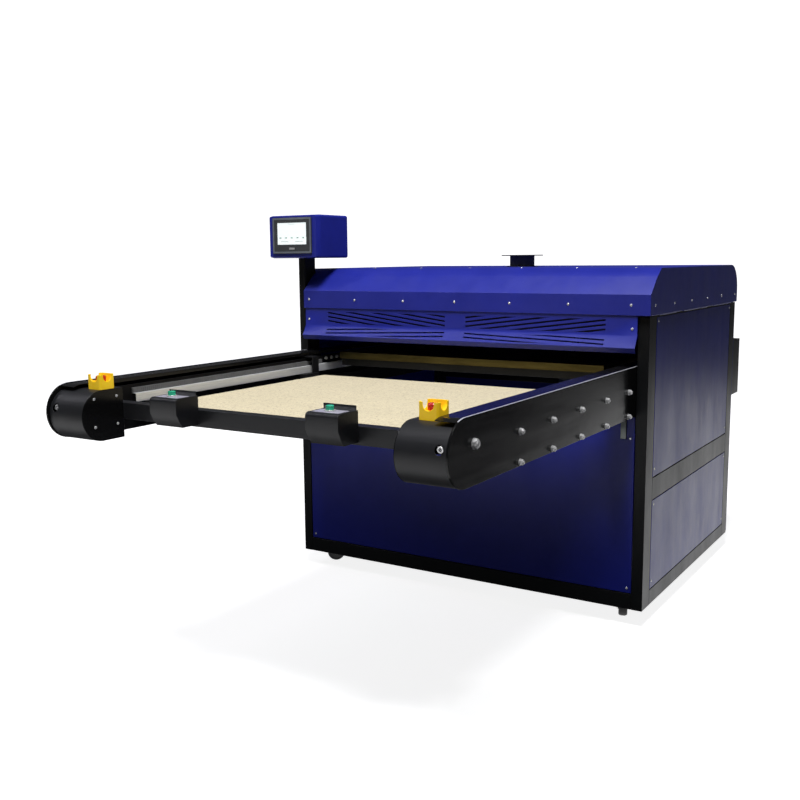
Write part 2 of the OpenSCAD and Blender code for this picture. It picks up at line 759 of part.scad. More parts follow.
back = frame_d + sheet;
rear_box_x0 = box_back_x - rear_box_w;
rear_box_y1 = back + rear_box_d;
hinge_y = rear_box_y1 + hinge_r;
hinge_x = rear_box_x0 - hinge_r - 1;
leaf_l = 24;
module rear_box() color("#1f2024") place() {
    difference() {
        span([rear_box_x0, back, rear_box_z], [box_back_x, rear_box_y1, rear_box_z + rear_box_h]);
        span([rear_box_x0 + 2, back + 2, rear_box_z + 2],
             [box_back_x - 2, rear_box_y1 + 1, rear_box_z + rear_box_h - 2]);
    }
    // Contactor, drive and terminal row on the back wall
    span([rear_box_x0 + 30, back + 2, rear_box_z + 120], [rear_box_x0 + 110, back + 72, rear_box_z + 215]);
    span([rear_box_x0 + 130, back + 2, rear_box_z + 110], [rear_box_x0 + 220, back + 82, rear_box_z + 220]);
    span([rear_box_x0 + 240, back + 2, rear_box_z + 140], [rear_box_x0 + 320, back + 60, rear_box_z + 210]);
    span([rear_box_x0 + 30, back + 2, rear_box_z + 40], [rear_box_x0 + 320, back + 40, rear_box_z + 75]);
    // Fixed hinge knuckles with their pins
    for (s = [-1, 1]) translate([hinge_x, hinge_y, rear_box_z + rear_box_h / 2 + s * 70]) {
        translate([0, 0, -20]) cylinder(h = 40, r = 1.5);
        translate([0, 0, -20]) cylinder(h = 19, r = hinge_r);
        translate([1, -leaf_l, -20]) cube([hinge_r - clear, leaf_l, 19]);
        translate([1, -leaf_l, -20]) cube([hinge_r, leaf_l - hinge_r, 19]);
    }
}

module rear_box_door() color("#1f2024") place() {
    y0 = rear_box_y1 + 0.6;
    difference() {
        union() {
            span([rear_box_x0, y0, rear_box_z], [box_back_x, y0 + door_t - 1, rear_box_z + rear_box_h]);
            for (s = [-1, 1]) translate([hinge_x, hinge_y, rear_box_z + rear_box_h / 2 + s * 70]) {
                translate([0, 0, 0]) cylinder(h = 20, r = hinge_r);
                translate([0, 0, 0]) cube([hinge_r + 1, hinge_r, 20]);
            }
            translate([box_back_x - 25, y0 + door_t - 1, rear_box_z + rear_box_h / 2])
                rotate([-90, 0, 0]) cylinder(h = 0.4, r = 11);
        }
        span([rear_box_x0 + 2, y0 - 1, rear_box_z + 2],
             [box_back_x - 2, y0 + door_t - 3, rear_box_z + rear_box_h - 2]);
        for (s = [-1, 1]) translate([hinge_x, hinge_y, rear_box_z + rear_box_h / 2 + s * 70 - 30])
            cylinder(h = 60, r = 1.5 + run_gap);
    }
}

inlet_x = -560;
gland_x = 560;
service_z = 260;
service_hole_r = 16;
inlet_r = 6.6;
inlet_depth = 14;
module air_inlet() color("#8d9298") place() translate([inlet_x, back, service_z]) rotate([-90, 0, 0])
    difference() {
        union() {
            cylinder(h = 8, r = 22, $fn = 6);
            translate([0, 0, -sheet - 14]) cylinder(h = 14 + sheet + 22, r = 12);
        }
        translate([0, 0, 22 - inlet_depth]) cylinder(h = inlet_depth + 1, r = inlet_r);
        translate([0, 0, -sheet - 15]) cylinder(h = 40, r = 4);
    }

gland_bore_r = 9;
module cable_gland() color("#17181a") place() translate([gland_x, back, service_z]) rotate([-90, 0, 0])
    difference() {
        union() {
            cylinder(h = 8, r = 21, $fn = 6);
            translate([0, 0, 8]) cylinder(h = 20, r = 17);
            translate([0, 0, -sheet - 12]) cylinder(h = 12 + sheet, r = 14);
        }
        translate([0, 0, -sheet - 13]) cylinder(h = 60, r = gland_bore_r);
    }

// ---- Casters ----

// A caster fork with its swivel at the origin and its wheel trailing towards +X
wheel_z = floor_z + wheel_d / 2;
leg_t = 3;
crown_z = 18;
axle_pin_r = 5;
module fork() {
    translate([0, 0, crown_z + 6]) cylinder(h = caster_plate_z - 0.4 - crown_z - 6, r = 24);
    translate([0, 0, crown_z]) cylinder(h = caster_plate_z + caster_plate_t + 4 - crown_z, r = pin_r);
    translate([-14, -fork_half, crown_z]) cube([trail + 22, 2 * fork_half, 6]);
    for (y = [-fork_half, fork_half - leg_t]) translate([0, y + leg_t, 0]) rotate([90, 0, 0])
        linear_extrude(leg_t) {
            polygon([[-14, crown_z + 6], [trail + 8, crown_z + 6],
                     [trail + 10, wheel_z], [trail - 10, wheel_z]]);
            translate([trail, wheel_z]) circle(10);
        }
    translate([trail, fork_half + 4, wheel_z]) rotate([90, 0, 0])
        cylinder(h = 2 * fork_half + 8, r = axle_pin_r);
}

module wheel() translate([trail, 0, wheel_z]) rotate([90, 0, 0]) rotate_extrude() {
    r = wheel_d / 2;
    h = wheel_w / 2;
    polygon([[axle_pin_r + run_gap, -h - 3], [14, -h - 3], [14, -h + 3], [r - 10, -h + 3],
             [r - 8, -h], [r - 5, -h], [r - 1.5, -h + 4], [r, -h + 9], [r, h - 9], [r - 1.5, h - 4],
             [r - 5, h], [r - 8, h], [r - 10, h - 3], [14, h - 3], [14, h + 3],
             [axle_pin_r + run_gap, h + 3]]);
}

// Puts a caster piece at corner i: 0 front left, 1 front right, 2 rear left, 3 rear right
module at_corner(i) place()
    translate([(i % 2 == 0 ? -1 : 1) * caster_x, caster_ys[floor(i / 2)], 0])
        rotate(headings[i]) children();

module front_left_fork() color("#202124") at_corner(0) fork();
module front_right_fork() color("#202124") at_corner(1) fork();
module rear_left_fork() color("#202124") at_corner(2) fork();
module rear_right_fork() color("#202124") at_corner(3) fork();
module front_left_wheel() color("#151515") at_corner(0) wheel();
module front_right_wheel() color("#151515") at_corner(1) wheel();
module rear_left_wheel() color("#151515") at_corner(2) wheel();
module rear_right_wheel() color("#151515") at_corner(3) wheel();

corner_posts();
bottom_rails();
side_rails();
cross_rails();
press_beams();
caster_plates();
front_panel();
side_panels();
rear_panel();
hood();
louver_panel();
exhaust_flue();
screen_post();
screen_box();
touch_panel();
touch_screen();
arm_plates();
arm_beams();
arm_covers();
end_covers();
end_plates();
table_rails();
seal_strips();
crossbar();
button_boxes();
button_rings();
estop_guards();
drive_belts();
shaft_bearings();
gear_motor();
air_cylinders();
arm_bolts();
arm_spacers();
panel_screws();
rear_box();
air_inlet();
cable_gland();
table_pad();
table_plate();
carriages();
belt_clamps();
heat_plate();
platen_cover();
cylinder_rods();
drive_shaft();
left_idler();
right_idler();
rear_box_door();
left_start_button();
right_start_button();
left_estop_button();
right_estop_button();
front_left_fork();
front_right_fork();
rear_left_fork();
rear_right_fork();
front_left_wheel();
front_right_wheel();
rear_left_wheel();
rear_right_wheel();
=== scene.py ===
"""Looks of the drawer heat press: detailed pieces, materials, light and camera."""

import json
import math
import random

import bmesh
import bpy
from mathutils import Matrix, Vector


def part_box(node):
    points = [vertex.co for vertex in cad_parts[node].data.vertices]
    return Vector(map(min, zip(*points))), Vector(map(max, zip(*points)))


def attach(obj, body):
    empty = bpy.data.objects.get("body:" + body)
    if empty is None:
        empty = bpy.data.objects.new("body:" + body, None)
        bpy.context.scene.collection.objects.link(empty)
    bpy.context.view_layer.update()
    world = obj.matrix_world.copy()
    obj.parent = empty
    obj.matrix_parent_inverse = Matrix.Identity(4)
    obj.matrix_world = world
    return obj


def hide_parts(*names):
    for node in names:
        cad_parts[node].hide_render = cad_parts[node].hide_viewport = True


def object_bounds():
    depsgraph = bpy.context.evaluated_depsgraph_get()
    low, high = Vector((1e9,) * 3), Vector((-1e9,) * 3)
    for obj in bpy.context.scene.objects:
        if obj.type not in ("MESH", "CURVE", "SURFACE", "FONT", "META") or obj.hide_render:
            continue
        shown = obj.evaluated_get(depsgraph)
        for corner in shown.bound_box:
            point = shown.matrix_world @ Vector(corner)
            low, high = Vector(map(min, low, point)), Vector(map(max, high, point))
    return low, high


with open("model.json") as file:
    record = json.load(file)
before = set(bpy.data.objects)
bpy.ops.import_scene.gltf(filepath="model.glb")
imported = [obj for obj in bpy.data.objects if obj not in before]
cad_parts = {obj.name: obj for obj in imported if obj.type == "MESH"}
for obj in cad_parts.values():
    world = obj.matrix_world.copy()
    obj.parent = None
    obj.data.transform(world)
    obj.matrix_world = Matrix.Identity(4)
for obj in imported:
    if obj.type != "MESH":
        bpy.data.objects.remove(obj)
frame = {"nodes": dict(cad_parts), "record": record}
cad_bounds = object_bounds()
nodes = frame["nodes"]
node_body = {
    node: body
    for body, members in frame["record"]["behaviour"]["bodies"].items()
    for node in members
}
node_slot = {s["node"]: s["material_slot"] for s in frame["record"]["subparts"]}

MM = 0.001
scene = bpy.context.scene

# ---- Places ----

posts_low, posts_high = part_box("corner_posts")
ORIGIN = Vector(((posts_low.x + posts_high.x) / 2, posts_low.y, posts_low.z))


def at(x, y, z):
    """A point given in millimetres from the frame's middle, front face and underside."""
    return ORIGIN + Vector((x, y, z)) * MM


def in_mm(p):
    """A row-frame point in millimetres from the frame's middle, front face and underside."""
    return (p - ORIGIN) / MM


# ---- Camera ----

CAMERA_AZIMUTH = math.radians(32.24)
CAMERA_PITCH = math.radians(-8.29)
CAMERA_ROLL = math.radians(-0.52)
CAMERA_PLACE = (1798, -3255.8, 1250.5)
FOCAL_LENGTH = 43.87
SENSOR_WIDTH = 36


def make_camera():
    """The camera, in front of the machine and to its right."""
    data = bpy.data.cameras.new("camera")
    data.lens = FOCAL_LENGTH
    data.sensor_width = SENSOR_WIDTH
    data.clip_end = 60
    camera = bpy.data.objects.new("camera", data)
    scene.collection.objects.link(camera)
    forward = Vector((
        -math.sin(CAMERA_AZIMUTH) * math.cos(CAMERA_PITCH),
        math.cos(CAMERA_AZIMUTH) * math.cos(CAMERA_PITCH),
        math.sin(CAMERA_PITCH),
    ))
    right = Vector((math.cos(CAMERA_AZIMUTH), math.sin(CAMERA_AZIMUTH), 0))
    up = right.cross(forward)
    turn = Matrix.Rotation(-CAMERA_ROLL, 3, forward)
    axes = Matrix((turn @ right, turn @ up, -forward)).transposed()
    camera.matrix_world = Matrix.Translation(at(*CAMERA_PLACE)) @ axes.to_4x4()
    scene.camera = camera


make_camera()

# ---- Materials ----


class Shader:
    """A Principled material and short ways to add and join its nodes."""

    def __init__(self, name, color, roughness, metallic=0.0, **values):
        self.material = bpy.data.materials.new(name)
        self.material.use_nodes = True
        self.tree = self.material.node_tree
        self.bsdf = self.tree.nodes["Principled BSDF"]
        self.color = (*color, 1)
        self.roughness = roughness
        self.bsdf.inputs["Base Color"].default_value = self.color
        self.bsdf.inputs["Roughness"].default_value = roughness
        self.bsdf.inputs["Metallic"].default_value = metallic
        for key, value in values.items():
            self.bsdf.inputs[key.replace("_", " ")].default_value = value
        self.material.diffuse_color = self.color
        self.coords = self.node("ShaderNodeTexCoord").outputs["Object"]

    def node(self, kind, **settings):
        """Adds a node with the given settings."""
        made = self.tree.nodes.new(kind)
        for key, value in settings.items():
            setattr(made, key, value)
        return made

    def join(self, source, target):
        """Links an output to an input."""
        self.tree.links.new(source, target)

    def stretched(self, x, y, z):
        """Object coordinates scaled along each axis."""
        mapping = self.node("ShaderNodeMapping")
        mapping.inputs["Scale"].default_value = (x, y, z)
        self.join(self.coords, mapping.inputs["Vector"])
        return mapping.outputs["Vector"]

    def noise(self, scale, detail=3.0, rough=0.5, coords=None):
        """A noise value, around one half."""
        made = self.node("ShaderNodeTexNoise")
        made.inputs["Scale"].default_value = scale
        made.inputs["Detail"].default_value = detail
        made.inputs["Roughness"].default_value = rough
        self.join(coords or self.coords, made.inputs["Vector"])
        return made.outputs["Fac"]

    def cells(self, scale, coords=None):
        """Distance to the nearest of many scattered points."""
        made = self.node("ShaderNodeTexVoronoi")
        made.inputs["Scale"].default_value = scale
        self.join(coords or self.coords, made.inputs["Vector"])
        return made.outputs["Distance"]

    def spread(self, source, low, high, start=0.3, stop=0.7):
        """Maps a texture value to a range."""
        made = self.node("ShaderNodeMapRange")
        made.inputs["From Min"].default_value = start
        made.inputs["From Max"].default_value = stop
        made.inputs["To Min"].default_value = low
        made.inputs["To Max"].default_value = high
        self.join(source, made.inputs["Value"])
        return made.outputs["Result"]

    def mix(self, factor, first, second):
        """Mixes two colours, each a tuple or a socket."""
        made = self.node("ShaderNodeMix", data_type="RGBA")
        self.join(factor, made.inputs[0])
        for socket, value in ((made.inputs[6], first), (made.inputs[7], second)):
            if isinstance(value, tuple):
                socket.default_value = value
            else:
                self.join(value, socket)
        return made.outputs[2]

    def mixed_value(self, first, second):
        """The mean of two texture values."""
        total = self.node("ShaderNodeMath", operation="ADD")
        half = self.node("ShaderNodeMath", operation="MULTIPLY")
        half.inputs[1].default_value = 0.5
        self.join(first, total.inputs[0])
        self.join(second, total.inputs[1])
        self.join(total.outputs[0], half.inputs[0])
        return half.outputs[0]

    def tint(self, factor):
        """The material's own colour scaled by a factor."""
        return tuple(min(1.0, c * factor) for c in self.color[:3]) + (1,)

    def colored(self, source):
        """Takes the base colour from a socket."""
        self.join(source, self.bsdf.inputs["Base Color"])

    def roughened(self, source, amount):
        """Varies the roughness by an amount either way."""
        self.join(
            self.spread(source, self.roughness - amount, self.roughness + amount),
            self.bsdf.inputs["Roughness"],
        )

    def bumped(self, *layers):
        """Bump from (texture, strength, height in millimetres) layers."""
        normal = None
        for source, strength, height in layers:
            bump = self.node("ShaderNodeBump")
            bump.inputs["Strength"].default_value = strength
            bump.inputs["Distance"].default_value = height * MM
            self.join(source, bump.inputs["Height"])
            if normal is not None:
                self.join(normal, bump.inputs["Normal"])
            normal = bump.outputs["Normal"]
        self.join(normal, self.bsdf.inputs["Normal"])


def powder_coat(name, color, roughness=0.4, grain=700, depth=0.12, specks=0.12, **values):
    """Powder coat: orange peel, fine specks, faint handling marks."""
    s = Shader(name, color, roughness, **values)
    peel = s.noise(grain, detail=2.0)
    fine = s.noise(2600, detail=2.0)
    clouds = s.noise(5.0, detail=6.0, rough=0.62)
    marks = s.noise(1.0, detail=5.0, rough=0.7, coords=s.stretched(9, 9, 3))
    body = s.mix(s.spread(clouds, 0.0, 1.0), s.tint(0.9), s.tint(1.12))
    s.colored(s.mix(s.spread(fine, 0.0, specks, 0.55, 0.8), body, s.tint(1.9)))
    s.roughened(marks, 0.06)
    s.bumped((peel, 0.35, depth), (fine, 0.25, depth * 0.4))
    return s.material


def gloss_black(name, color, roughness):
    """Gloss enamel over sheet steel with long ripples and fine dust."""
    s = Shader(name, color, roughness, Specular_IOR_Level=0.2)
    ripple = s.noise(14, detail=2.0)
    peel = s.noise(420, detail=2.0)
    dust = s.noise(1900, detail=1.0)
    wipes = s.noise(1.0, detail=6.0, rough=0.7, coords=s.stretched(4, 1.2, 22))
    s.colored(s.mix(s.spread(dust, 0.0, 0.05, 0.62, 0.8), s.color, (0.2, 0.2, 0.22, 1)))
    s.roughened(wipes, 0.07)
    s.bumped((ripple, 0.25, 0.5), (peel, 0.2, 0.08))
    return s.material


def brushed_metal(name, color, roughness, along, metallic=1.0, streak=0.1):
    """Metal with fine scratches along one axis."""
    s = Shader(name, color, roughness, metallic=metallic)
    scale = [900, 900, 900]
    scale["xyz".index(along)] = 12
    scratches = s.noise(1.0, detail=4.0, rough=0.6, coords=s.stretched(*scale))
    stains = s.noise(18, detail=5.0, rough=0.6)
    s.colored(s.mix(s.spread(scratches, 0.0, 1.0), s.tint(0.82), s.tint(1.12)))
    s.roughened(s.mixed_value(scratches, stains), streak)
    s.bumped((scratches, 0.15, 0.03))
    return s.material


def moulded(name, color, roughness, grain=900, depth=0.05, **values):
    """Moulded plastic or rubber: fine texture, uneven sheen."""
    s = Shader(name, color, roughness, **values)
    texture = s.noise(grain, detail=2.0)
    flow = s.noise(30, detail=4.0)
    s.colored(s.mix(s.spread(flow, 0.0, 1.0), s.tint(0.9), s.tint(1.1)))
    s.roughened(flow, 0.06)
    s.bumped((texture, 0.3, depth))
    return s.material


def cast_metal(name, color, roughness):
    """Cast housing: pitted, slightly mottled."""
    s = Shader(name, color, roughness, metallic=0.6)
    pits = s.cells(420)
    mottle = s.noise(60, detail=5.0, rough=0.6)
    s.colored(s.mix(s.spread(mottle, 0.0, 1.0), s.tint(0.75), s.tint(1.2)))
    s.roughened(mottle, 0.1)
    s.bumped((pits, 0.4, 0.25), (mottle, 0.3, 0.2))
    return s.material


def felt(name, color):
    """Needled aramid felt: crossed fibres, specks, scorched patches and faint press marks."""
    s = Shader(name, color, 0.92, Sheen_Weight=0.25, Sheen_Roughness=0.6)
    fibres_x = s.noise(1.0, detail=4.0, rough=0.65, coords=s.stretched(120, 1500, 900))
    fibres_y = s.noise(1.0, detail=4.0, rough=0.65, coords=s.stretched(1500, 150, 900))
    fibres = s.mixed_value(fibres_x, fibres_y)
    patches = s.noise(7.0, detail=6.0, rough=0.6)
    streaks = s.noise(1.0, detail=5.0, rough=0.6, coords=s.stretched(7, 70, 7))
    mottle = s.noise(38, detail=4.0, rough=0.7)
    flecks = s.noise(85, detail=3.0, rough=0.75)
    specks = s.noise(260, detail=2.0, rough=0.7)
    base = s.mix(s.spread(patches, 0.0, 1.0), s.tint(0.9), s.tint(1.06))
    base = s.mix(s.spread(streaks, 0.0, 0.7), base, s.tint(0.84))
    base = s.mix(s.spread(mottle, 0.0, 0.6, 0.5, 0.7), base, s.tint(0.72))
    base = s.mix(s.spread(fibres, 0.0, 0.7, 0.4, 0.65), base, s.tint(0.78))
    base = s.mix(s.spread(flecks, 0.0, 0.7, 0.54, 0.66), base, (0.36, 0.27, 0.16, 1))
    s.colored(s.mix(s.spread(specks, 0.0, 0.75, 0.58, 0.68), base, (0.28, 0.2, 0.11, 1)))
    s.bumped((patches, 0.5, 2.0), (streaks, 0.3, 1.0), (fibres, 0.5, 0.5))
    return s.material


def heat_tinted(name, color, roughness):
    """Aluminium sheet browned by heat, with a fine grain across it."""
    s = Shader(name, color, roughness, metallic=0.9)
    grain = s.noise(1.0, detail=4.0, rough=0.6, coords=s.stretched(5, 500, 500))
    bloom = s.noise(5.0, detail=5.0, rough=0.6, coords=s.stretched(1, 2, 6))
    s.colored(s.mix(s.spread(bloom, 0.0, 1.0, 0.35, 0.65), s.tint(0.6), s.tint(1.25)))
    s.roughened(s.mixed_value(grain, bloom), 0.1)
    s.bumped((grain, 0.2, 0.05))
    return s.material


def display(name, color):
    """A lit panel with a faint pixel grid."""
    s = Shader(name, color, 0.25)
    columns = s.node("ShaderNodeTexWave", wave_type="BANDS", bands_direction="X")
    columns.inputs["Scale"].default_value = 330
    s.join(s.coords, columns.inputs["Vector"])
    glow = s.noise(9.0, detail=1.0)
    lit = s.mix(s.spread(glow, 0.0, 1.0), s.tint(0.97), s.tint(1.0))
    lit = s.mix(s.spread(columns.outputs["Fac"], 0.0, 0.04, 0, 1), lit, (0.7, 0.8, 0.85, 1))
    s.colored(lit)
    s.join(lit, s.bsdf.inputs["Emission Color"])
    s.bsdf.inputs["Emission Strength"].default_value = 0.55
    return s.material


def toothed_rubber(name, color):
    """Moulded belt back with a woven face."""
    s = Shader(name, color, 0.6)
    weave = s.cells(900, coords=s.stretched(1, 0.6, 1))
    chalk = s.noise(40, detail=5.0, rough=0.7)
    s.colored(s.mix(s.spread(chalk, 0.0, 1.0, 0.45, 0.75), s.color, s.tint(2.2)))
    s.roughened(chalk, 0.12)
    s.bumped((weave, 0.4, 0.2))
    return s.material


BLUE = (0.012, 0.020, 0.30)
MATERIALS = {
    "frame_black": powder_coat(
        "frame_black", (0.0085, 0.009, 0.010), 0.36, grain=500, depth=0.1,
        Specular_IOR_Level=0.13,
    ),
    "panel_blue": powder_coat(
        "panel_blue", BLUE, 0.34, grain=560, depth=0.12, specks=0.05, Specular_IOR_Level=0.22,
    ),
    "hood_blue": powder_coat("hood_blue", BLUE, 0.42, grain=620, depth=0.14, specks=0.06),
    "flue_black": powder_coat("flue_black", (0.03, 0.03, 0.034), 0.5),
    "arm_black": gloss_black("arm_black", (0.006, 0.006, 0.0065), 0.2),
    "bezel_grey": moulded("bezel_grey", (0.05, 0.055, 0.06), 0.42),
    "screen_face": display("screen_face", (0.88, 0.96, 0.97)),
    "rail_steel": brushed_metal("rail_steel", (0.88, 0.9, 0.93), 0.34, "y", metallic=0.35),
    "bright_steel": brushed_metal(
        "bright_steel", (0.9, 0.9, 0.92), 0.24, "x", metallic=0.5, streak=0.06,
    ),
    # Painted light: the guards' yellow also glows a little, so that it stays bright where the
    # guards stand in shade.
    "guard_yellow": moulded(
        "guard_yellow", (1.0, 0.66, 0.015), 0.36, Specular_IOR_Level=0.4,
        Emission_Color=(1.0, 0.6, 0.012, 1), Emission_Strength=0.28,
    ),
    "belt_rubber": toothed_rubber("belt_rubber", (0.008, 0.008, 0.009)),
    "cast_housing": cast_metal("cast_housing", (0.12, 0.125, 0.13), 0.5),
    "motor_grey": powder_coat("motor_grey", (0.07, 0.09, 0.12), 0.42, grain=260, depth=0.3),
    "cylinder_aluminium": brushed_metal("cylinder_aluminium", (0.3, 0.3, 0.31), 0.38, "z"),
    "black_plastic": moulded("black_plastic", (0.009, 0.009, 0.010), 0.45),
    "pad_felt": felt("pad_felt", (0.84, 0.74, 0.5)),
    "table_steel": powder_coat("table_steel", (0.008, 0.008, 0.009), 0.5, Specular_IOR_Level=0.3),
    "heat_plate": brushed_metal("heat_plate", (0.013, 0.0125, 0.011), 0.5, "x", metallic=0.3),
    "platen_gold": heat_tinted("platen_gold", (0.13, 0.105, 0.035), 0.36),
    "pulley_aluminium": brushed_metal("pulley_aluminium", (0.4, 0.41, 0.43), 0.38, "x"),
    "start_green": moulded(
        "start_green", (0.03, 0.55, 0.31), 0.22, depth=0.02, Coat_Weight=0.4,
    ),
    "estop_red": moulded("estop_red", (0.56, 0.02, 0.012), 0.3, depth=0.02, Coat_Weight=0.4),
    "fork_steel": powder_coat("fork_steel", (0.008, 0.008, 0.009), 0.35),
    "wheel_rubber": moulded("wheel_rubber", (0.009, 0.009, 0.010), 0.5, grain=500, depth=0.15),
}
BEAM_BLACK = powder_coat("beam_black", (0.006, 0.006, 0.0065), 0.5, Specular_IOR_Level=0.1)
BADGE_SILVER = brushed_metal("badge_silver", (0.55, 0.56, 0.58), 0.3, "x", metallic=0.4)
ROD_STEEL = brushed_metal("rod_steel", (0.05, 0.05, 0.05), 0.5, "z")
LEGEND_PALE = powder_coat("legend_plate", (0.42, 0.41, 0.49), 0.25, grain=900, depth=0.03)
SEAL_BRUSH = moulded("seal_brush", (0.12, 0.122, 0.125), 0.8, grain=300, depth=0.3)
# Painted highlight: a bright, faintly violet metal finish that stands in for the light caught
# along the arm plates' top edges.
PAINTED_EDGE_HIGHLIGHT = brushed_metal("painted_edge_highlight", (0.72, 0.72, 0.82), 0.3, "y", metallic=0.4)
SATIN_BLACK = powder_coat(
    "satin_black", (0.014, 0.0145, 0.017), 0.42, grain=500, depth=0.08, Specular_IOR_Level=0.3,
)
# Painted reflection: a light grey-green metal finish on the arm spacers, standing in for the sheen
# on the bracket under the right arm.
PAINTED_SHEEN_GREY = brushed_metal("painted_sheen_grey", (0.2, 0.22, 0.21), 0.4, "z", metallic=0.5)

# ---- Mesh building ----


def finished(name, bm, body, slot, material=None, replaces=(), sharp=40, weighted=True):
    """Turns a bmesh into a piece that rides on a body and takes a slot's finish."""
    mesh = bpy.data.meshes.new(name)
    bmesh.ops.recalc_face_normals(bm, faces=bm.faces)
    bm.to_mesh(mesh)
    bm.free()
    mesh.shade_smooth()
    mesh.set_sharp_from_angle(angle=math.radians(sharp))
    mesh.materials.append(material or MATERIALS[slot])
    piece = bpy.data.objects.new(name, mesh)
    scene.collection.objects.link(piece)
    if weighted:
        piece.modifiers.new("normals", "WEIGHTED_NORMAL").keep_sharp = True
    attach(piece, body)
    if replaces:
        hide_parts(*replaces)
    return piece


WELD_REACH = 0.01
ROUNDING_STEPS = 2
ROUNDED_ABOVE = math.radians(35)


def soften(bm, width):
    """Rounds every outer edge that is sharp enough to catch the light."""
    edges = [
        e for e in bm.edges
        if len(e.link_faces) == 2 and e.is_convex and e.calc_face_angle(0) > ROUNDED_ABOVE
    ]
    bmesh.ops.bevel(
        bm, geom=edges, offset=width * MM, offset_type="OFFSET",
        segments=ROUNDING_STEPS, profile=0.5, affect="EDGES", clamp_overlap=False,
    )


def refine(node, width, material=None):
    """A piece with the CAD node's shape, its flat faces whole and its edges rounded."""
    bm = bmesh.new()
    bm.from_mesh(nodes[node].data)
    bmesh.ops.remove_doubles(bm, verts=bm.verts, dist=WELD_REACH * MM)
    bmesh.ops.dissolve_limit(
        bm, angle_limit=math.radians(0.5), verts=bm.verts, edges=bm.edges,
    )
    soften(bm, width)
    return finished(
        node + "_detailed", bm, node_body[node], node_slot[node], material,
        replaces=[node], sharp=50,
    )


def ring(bm, place, radius, height, count, shape=None):
    """A ring of vertices round the local Z axis of place."""
    made = []
    for i in range(count):
        angle = 2 * math.pi * i / count
        r = shape(angle, radius) if shape else radius
        spot = Vector((r * math.cos(angle), r * math.sin(angle), height))
        made.append(bm.verts.new(place @ spot))
    return made


def lathe(bm, place, profile, count=24, close_start=True, close_end=True):
    """A solid of revolution from (radius, height[, shape]) steps, in millimetres."""
    rings = [
        ring(bm, place, step[0] * MM, step[1] * MM, count, step[2] if len(step) > 2 else None)
        for step in profile
    ]
    for low, high in zip(rings, rings[1:]):
        for i in range(count):
            j = (i + 1) % count
            bm.faces.new((low[i], low[j], high[j], high[i]))
    if close_start:
        bm.faces.new(rings[0][::-1])
    if close_end:
        bm.faces.new(rings[-1])
    return rings


def polygon_shape(sides, corner=0.0):
    """Radius of a regular polygon whose flats are at the given radius; corner trims its points."""
    step = 2 * math.pi / sides

    def shape(angle, radius):
        off = (angle + step / 2) % step - step / 2
        full = radius / math.cos(off)
        return min(full, radius * (1 / math.cos(step / 2) - corner))

    return shape


HEXAGON = polygon_shape(6)
HEX_TRIMMED = polygon_shape(6, 0.06)


def facing(point, direction):
    """A place at the point whose local Z looks along direction."""
    turn = Vector(direction).to_track_quat("Z", "Y").to_matrix().to_4x4()
    return Matrix.Translation(point) @ turn


def islands(node):
    """The separate solids of a CAD node as (lowest, highest) corners, in millimetres."""
    bm = bmesh.new()
    bm.from_mesh(nodes[node].data)
    bmesh.ops.remove_doubles(bm, verts=bm.verts, dist=WELD_REACH * MM)
    bm.verts.ensure_lookup_table()
    seen = set()
    found = []
    for start in bm.verts:
        if start.index in seen:
            continue
        queue = [start]
        seen.add(start.index)
        points = []
        while queue:
            v = queue.pop()
            points.append(in_mm(v.co))
            for e in v.link_edges:
                other = e.other_vert(v)
                if other.index not in seen:
                    seen.add(other.index)
                    queue.append(other)
        low = Vector([min(p[k] for p in points) for k in range(3)])
        high = Vector([max(p[k] for p in points) for k in range(3)])
        found.append((low, high))
    bm.free()
    return found


def block(bm, low, high, round_by=0.0):
    """A box between two corners in millimetres, with rounded edges."""
    made = bmesh.ops.create_cube(bm, size=1.0)["verts"]
    centre = (Vector(low) + Vector(high)) / 2
    size = Vector(high) - Vector(low)
    for v in made:
        v.co = at(*(centre + Vector(v.co[k] * size[k] for k in range(3))))
    if round_by:
        edges = list(dict.fromkeys(e for v in made for e in v.link_edges))
        bmesh.ops.bevel(
            bm, geom=edges, offset=round_by * MM, offset_type="OFFSET",
            segments=ROUNDING_STEPS, profile=0.5, affect="EDGES", clamp_overlap=True,
        )


# ---- Pieces that keep their CAD shape, with rounded edges ----

EDGE_ROUNDING = {
    "corner_posts": 2.0, "bottom_rails": 2.0, "side_rails": 2.0, "cross_rails": 2.0,
    "press_beams": 2.0, "caster_plates": 0.8, "front_panel": 0.8, "side_panels": 0.8,
    "rear_panel": 0.8, "hood": 1.2, "louver_panel": 0.8, "exhaust_flue": 0.6,
    "screen_post": 1.5, "screen_box": 0.8, "touch_panel": 1.2, "arm_beams": 1.5,
    "arm_covers": 0.7, "end_covers": 0.7, "end_plates": 0.6,
    "crossbar": 1.8, "button_boxes": 0.7, "button_rings": 0.6, "estop_guards": 1.0,
    "shaft_bearings": 1.5, "gear_motor": 1.5, "air_cylinders": 1.0, "arm_spacers": 0.8,
    "rear_box": 0.8, "air_inlet": 0.6, "cable_gland": 0.6, "table_plate": 1.0,
    "carriages": 0.8, "belt_clamps": 0.6, "heat_plate": 1.2, "platen_cover": 1.5,
    "cylinder_rods": 0.6, "drive_shaft": 0.5, "left_idler": 0.4, "right_idler": 0.4,
    "rear_box_door": 1.0, "left_start_button": 1.5, "right_start_button": 1.5,
    "left_estop_button": 0.6, "right_estop_button": 0.6,
}
for corner in ("front_left", "front_right", "rear_left", "rear_right"):
    EDGE_ROUNDING[corner + "_fork"] = 0.6
    EDGE_ROUNDING[corner + "_wheel"] = 0.5
